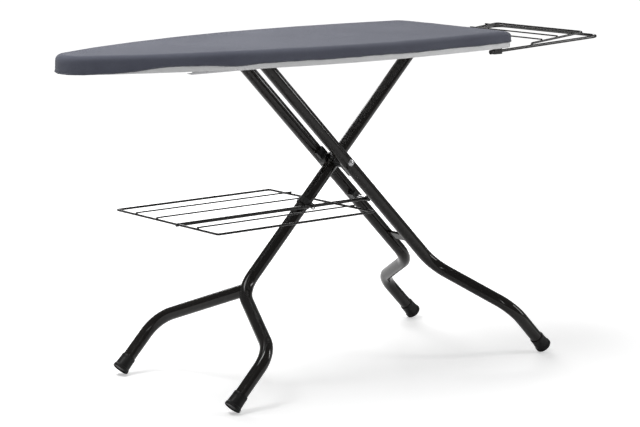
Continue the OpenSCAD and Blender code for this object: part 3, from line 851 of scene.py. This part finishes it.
@dataclass
class CoverHem:
    """The rolled and stitched hem that runs round the skirt's lower edge."""

    cover: ClothCover
    radius: float = 0.0016

    def build(self, kit: FinishKit) -> bpy.types.Object:
        """Sweep a small roll along the skirt's edge.

        Args:
            kit: The materials.

        Returns:
            The hem.
        """
        cover = self.cover
        spots = cover.outline.ring(0.0004, cover.count)
        path = []
        for p in spots:
            outwards = (p - Vector((min(max(p.x, -0.6), 0.2), 0.0))).normalized()
            push = cover._pucker(p.x, p.y)
            low = cover._slack(p.x, p.y)
            z = cover.top - cover.skirt - low
            path.append(Vector((p.x + outwards.x * push, p.y + outwards.y * push, z)))
        work = bmesh.new()
        sides = 8
        first = bmesh.ops.create_circle(work, cap_ends=False, segments=sides, radius=self.radius)["verts"]
        shape = [v.co.copy() for v in first]
        ring_edges = list(work.edges)
        start_edges = ring_edges
        loops = [list(first)]
        for _ in path[1:]:
            grown = bmesh.ops.extrude_edge_only(work, edges=ring_edges)["geom"]
            ring_edges = [g for g in grown if isinstance(g, bmesh.types.BMEdge) and g.is_boundary]
            before = loops[-1]
            fresh = {g for g in grown if isinstance(g, bmesh.types.BMVert)}
            loops.append(
                [next(e.other_vert(v) for e in v.link_edges if e.other_vert(v) in fresh) for v in before]
            )
        total = len(path)
        for i, (verts, here) in enumerate(zip(loops, path)):
            ahead = (path[(i + 1) % total] - path[i - 1]).normalized()
            side = ahead.cross(Vector((0, 0, 1))).normalized()
            up = side.cross(ahead)
            swell = 1.0 + 0.22 * noise.noise(Vector((i * 0.55, 0.0, 4.2)))
            for vert, offset in zip(verts, shape):
                vert.co = here + side * offset.x * swell * 0.8 + up * offset.y * swell * 1.25
        bmesh.ops.bridge_loops(work, edges=start_edges + ring_edges)
        bmesh.ops.recalc_face_normals(work, faces=work.faces)
        hem = piece_from("cover_hem", work, kit.material(HEM_CLOTH))
        return finish_piece(hem, "board", "cover_cloth")


# ---------------------------------------------------------------------------------------
# Dressed metal and plastic pieces


@dataclass
class DressedBody:
    """One moving body's hard pieces, each with its finish.

    Attributes:
        body: The body's name.
        pieces: Each node with its finish and the width of its eased edges.
    """

    body: str
    pieces: list[tuple[str, Finish, float]]

    def build(self, kit: FinishKit, frame: dict) -> None:
        """Dress every piece of the body.

        Args:
            kit: The materials.
            frame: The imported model.
        """
        for node, finish, bevel in self.pieces:
            smoothed(node, self.body, finish, kit, frame, bevel=bevel)


@dataclass
class WeldSpots:
    """Small flattened beads where two wires are welded.

    Attributes:
        name: The piece's name.
        body: The body that it rides on.
        radius: A bead's radius.
        spots: Where the beads are.
    """

    name: str
    body: str
    radius: float
    spots: list[Vector]

    def build(self, kit: FinishKit) -> bpy.types.Object:
        """Make every bead in one piece.

        Args:
            kit: The materials.

        Returns:
            The piece.
        """
        work = bmesh.new()
        for i, spot in enumerate(self.spots):
            squeeze = 0.86 + 0.10 * noise.noise(Vector((i * 1.7, 0.3, 0.9)))
            place = Matrix.Translation(spot) @ Matrix.Diagonal((1.0, 1.0, squeeze, 1.0))
            bmesh.ops.create_icosphere(work, subdivisions=2, radius=self.radius, matrix=place)
        piece = piece_from(self.name, work, kit.material(WIRE_PAINT))
        return finish_piece(piece, self.body, "wire_paint")


def rack_weld_spots() -> list[Vector]:
    """Find where the rack's thin wires cross its frame.

    Returns:
        One place for each end of each thin wire.
    """
    low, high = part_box("rack_frame")
    rod_low, rod_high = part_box("rack_rod")
    rod = (rod_low.y + rod_high.y) / 2
    near, far = low.y + WELD_INSET, high.y - WELD_INSET
    rows = [(near + rod) / 2, rod + (far - rod) / 3, rod + (far - rod) * 2 / 3]
    z = high.z + WELD_RISE
    return [Vector((x, y, z)) for y in rows for x in (low.x + WELD_INSET, high.x - WELD_INSET)]


# ---------------------------------------------------------------------------------------
# Studio


@dataclass
class Studio:
    """The pale floor, the lights and the camera."""

    floor_size: float = 14.0
    lens: float = 120.5
    eye: Vector = field(default_factory=lambda: Vector((-3.4656, -4.2115, 1.3864)))
    aim: Vector = field(default_factory=lambda: Vector((-0.0196, 0.0, 0.4018)))
    roll: float = 0.1
    surround: float = 0.18
    near_glow: float = 0.40
    far_glow: float = 0.88
    near_reach: float = 1.0
    far_reach: float = 2.6
    sky: float = 1.05

    def build(self) -> None:
        """Make the whole studio."""
        self._floor()
        self._world()
        self._lights()
        self._camera()

    def _floor(self) -> None:
        """Lay the floor."""
        work = bmesh.new()
        bmesh.ops.create_grid(work, x_segments=2, y_segments=2, size=self.floor_size)
        mat = bpy.data.materials.new("pale_floor")
        mat.use_nodes = True
        shader = next(n for n in mat.node_tree.nodes if n.type == "BSDF_PRINCIPLED")
        shader.inputs["Base Color"].default_value = (0.93, 0.93, 0.93, 1.0)
        shader.inputs["Roughness"].default_value = 0.85
        shader.inputs["Specular IOR Level"].default_value = 0.1
        shader.inputs["Emission Color"].default_value = (1.0, 1.0, 1.0, 1.0)
        add, link = mat.node_tree.nodes.new, mat.node_tree.links.new
        seen, coord, away, level = (
            add("ShaderNodeLightPath"),
            add("ShaderNodeTexCoord"),
            add("ShaderNodeVectorMath"),
            add("ShaderNodeMapRange"),
        )
        away.operation = "LENGTH"
        link(coord.outputs["Object"], away.inputs[0])
        level.inputs["From Min"].default_value = self.near_reach
        level.inputs["From Max"].default_value = self.far_reach
        level.inputs["To Min"].default_value = self.near_glow
        level.inputs["To Max"].default_value = self.far_glow
        link(away.outputs["Value"], level.inputs["Value"])
        glow = add("ShaderNodeMath")
        glow.operation = "MULTIPLY"
        link(level.outputs["Result"], glow.inputs[1])
        link(seen.outputs["Is Camera Ray"], glow.inputs[0])
        mat.node_tree.links.new(glow.outputs[0], shader.inputs["Emission Strength"])
        floor = piece_from("floor", work, mat, smooth=False)

    def _world(self) -> None:
        """Surround the scene with even white light."""
        world = bpy.data.worlds.new("white_surround")
        bpy.context.scene.world = world
        world.use_nodes = True
        back = next(n for n in world.node_tree.nodes if n.type == "BACKGROUND")
        back.inputs["Color"].default_value = (1.0, 1.0, 1.0, 1.0)
        seen = world.node_tree.nodes.new("ShaderNodeLightPath")
        level = world.node_tree.nodes.new("ShaderNodeMapRange")
        level.inputs["To Min"].default_value = self.surround
        level.inputs["To Max"].default_value = self.sky
        world.node_tree.links.new(seen.outputs["Is Camera Ray"], level.inputs["Value"])
        world.node_tree.links.new(level.outputs["Result"], back.inputs["Strength"])
        bpy.context.scene.view_settings.view_transform = "Standard"

    def _light(
        self, name: str, place: Vector, target: Vector, size: tuple[float, float], power: float
    ) -> None:
        """Hang one soft light.

        Args:
            name: The light's name.
            place: Where it hangs.
            target: What it points at.
            size: Its width and height.
            power: Its power in watts.
        """
        data = bpy.data.lights.new(name, "AREA")
        data.shape = "RECTANGLE"
        data.size, data.size_y = size
        data.energy = power
        lamp = bpy.data.objects.new(name, data)
        lamp.location = place
        lamp.rotation_euler = (target - place).to_track_quat("-Z", "Y").to_euler()
        bpy.context.scene.collection.objects.link(lamp)

    def _lights(self) -> None:
        """Hang the soft key, the fill, a narrow strip for crisp highlights and the rim light."""
        middle = Vector((0.0, 0.0, 0.5))
        self._light("key", Vector((-1.2, 0.6, 3.6)), middle, (2.2, 1.4), 84.0)
        self._light("fill", Vector((3.0, -2.2, 1.8)), middle, (0.5, 2.0), 30.0)
        self._light("strip", Vector((-2.6, -3.0, 2.4)), middle, (0.22, 1.8), 14.0)
        self._light("rim", Vector((1.4, 3.0, 2.2)), middle, (2.4, 1.0), 50.0)

    def _camera(self) -> None:
        """Set the camera."""
        data = bpy.data.cameras.new("camera")
        data.lens = self.lens
        data.sensor_width = 36.0
        camera = bpy.data.objects.new("camera", data)
        turn = (self.aim - self.eye).to_track_quat("-Z", "Y").to_matrix().to_4x4()
        roll = Matrix.Rotation(math.radians(self.roll), 4, "Z")
        camera.matrix_world = Matrix.Translation(self.eye) @ turn @ roll
        bpy.context.scene.collection.objects.link(camera)
        bpy.context.scene.camera = camera


# ---------------------------------------------------------------------------------------
# Assembly


def board_pieces() -> list[tuple[str, Finish, float]]:
    """List the board's hard pieces with their finishes."""
    return [
        ("top_panel", PUNCHED_PANEL, 0.0),
        ("rim_band", PANEL_PAINT, 0.0),
        ("rail_near", ZINC, 0.0004),
        ("rail_far", ZINC, 0.0004),
        ("rail_hangers", ZINC, 0.0004),
        ("hanger_rivets", ZINC, 0.0005),
        ("tail_bracket", ZINC, 0.0),
        ("bracket_rivets", ZINC, 0.0005),
        ("latch_bracket", ZINC, 0.0),
        ("latch_pin", ZINC, 0.0),
        ("latch_washers", BLACK_PLASTIC, 0.0),
        ("rest_guide_near", BLACK_PLASTIC, 0.0),
        ("rest_guide_far", BLACK_PLASTIC, 0.0),
    ]


def leg_b_pieces() -> list[tuple[str, Finish, float]]:
    """List leg B's hard pieces with their finishes."""
    return [
        ("leg_b_tube", LEG_PAINT, 0.0),
        ("leg_b_branch", LEG_PAINT, 0.0),
        ("leg_b_crossbar", LEG_PAINT, 0.0),
        ("tail_axle", ZINC, 0.0),
        ("tail_axle_caps", BLACK_PLASTIC, 0.0),
        ("foot_cap_b_near", CAP_RUBBER, 0.0),
        ("foot_cap_b_far", CAP_RUBBER, 0.0),
        ("rack_hook", BLACK_PLASTIC, 0.0),
        ("rack_hook_screw", ZINC, 0.0),
    ]


def leg_a_pieces() -> list[tuple[str, Finish, float]]:
    """List leg A's hard pieces with their finishes."""
    return [
        ("leg_a_near_tube", LEG_PAINT, 0.0),
        ("leg_a_far_tube", LEG_PAINT, 0.0),
        ("leg_a_brace", LEG_PAINT, 0.0),
        ("slide_axle", ZINC, 0.0),
        ("pivot_bolt", ZINC, 0.0),
        ("pivot_nut", ZINC, 0.0005),
        ("pivot_washers", ZINC, 0.0),
        ("pivot_spacer_near", BLACK_PLASTIC, 0.0),
        ("pivot_spacer_far", BLACK_PLASTIC, 0.0),
        ("foot_cap_a_near", CAP_RUBBER, 0.0),
        ("foot_cap_a_far", CAP_RUBBER, 0.0),
        ("rack_pin", ZINC, 0.0),
        ("rack_clip", BLACK_PLASTIC, 0.0),
        ("rack_clip_screw", ZINC, 0.0),
    ]


def small_bodies() -> list[DressedBody]:
    """List the small moving bodies."""
    return [
        DressedBody("shoe_near", [("slide_shoe_near", BLACK_PLASTIC, 0.001)]),
        DressedBody("shoe_far", [("slide_shoe_far", BLACK_PLASTIC, 0.001)]),
        DressedBody(
            "rack",
            [("rack_frame", WIRE_PAINT, 0.0), ("rack_wires", WIRE_PAINT, 0.0), ("rack_rod", WIRE_PAINT, 0.0)],
        ),
        DressedBody("latch", [("latch_plate", ZINC, 0.0), ("latch_handle", BLACK_PLASTIC, 0.0015)]),
        DressedBody(
            "iron_rest",
            [
                ("rest_frame", WIRE_PAINT, 0.0),
                ("rest_platform", WIRE_PAINT, 0.0),
                ("rest_wires", WIRE_PAINT, 0.0),
                ("rest_links", WIRE_PAINT, 0.0),
                ("rest_stops", BLACK_PLASTIC, 0.0),
            ],
        ),
    ]


def main() -> None:
    """Build every piece in order."""
    logging.basicConfig(level=logging.INFO, format="%(name)s: %(message)s")
    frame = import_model()
    Studio().build()
    kit = FinishKit()
    low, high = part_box("cover")
    outline = BoardOutline(nose=low.x, tail=high.x, widest=high.x - TAIL_REACH)
    cover = ClothCover(outline, top=high.z)
    cloth = cover.build(kit)
    hem = CoverHem(cover).build(kit)
    pad = FeltUnderlay(cover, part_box("felt_pad")[0].z).build(kit)
    DressedBody("board", board_pieces()).build(kit, frame)
    cover.cut_area()
    DressedBody("leg_b", leg_b_pieces()).build(kit, frame)
    DressedBody("leg_a", leg_a_pieces()).build(kit, frame)
    for body in small_bodies():
        body.build(kit, frame)
    WeldSpots("rack_welds", "rack", WELD_RADIUS, rack_weld_spots()).build(kit)


if __name__ == "__main__":
    main()
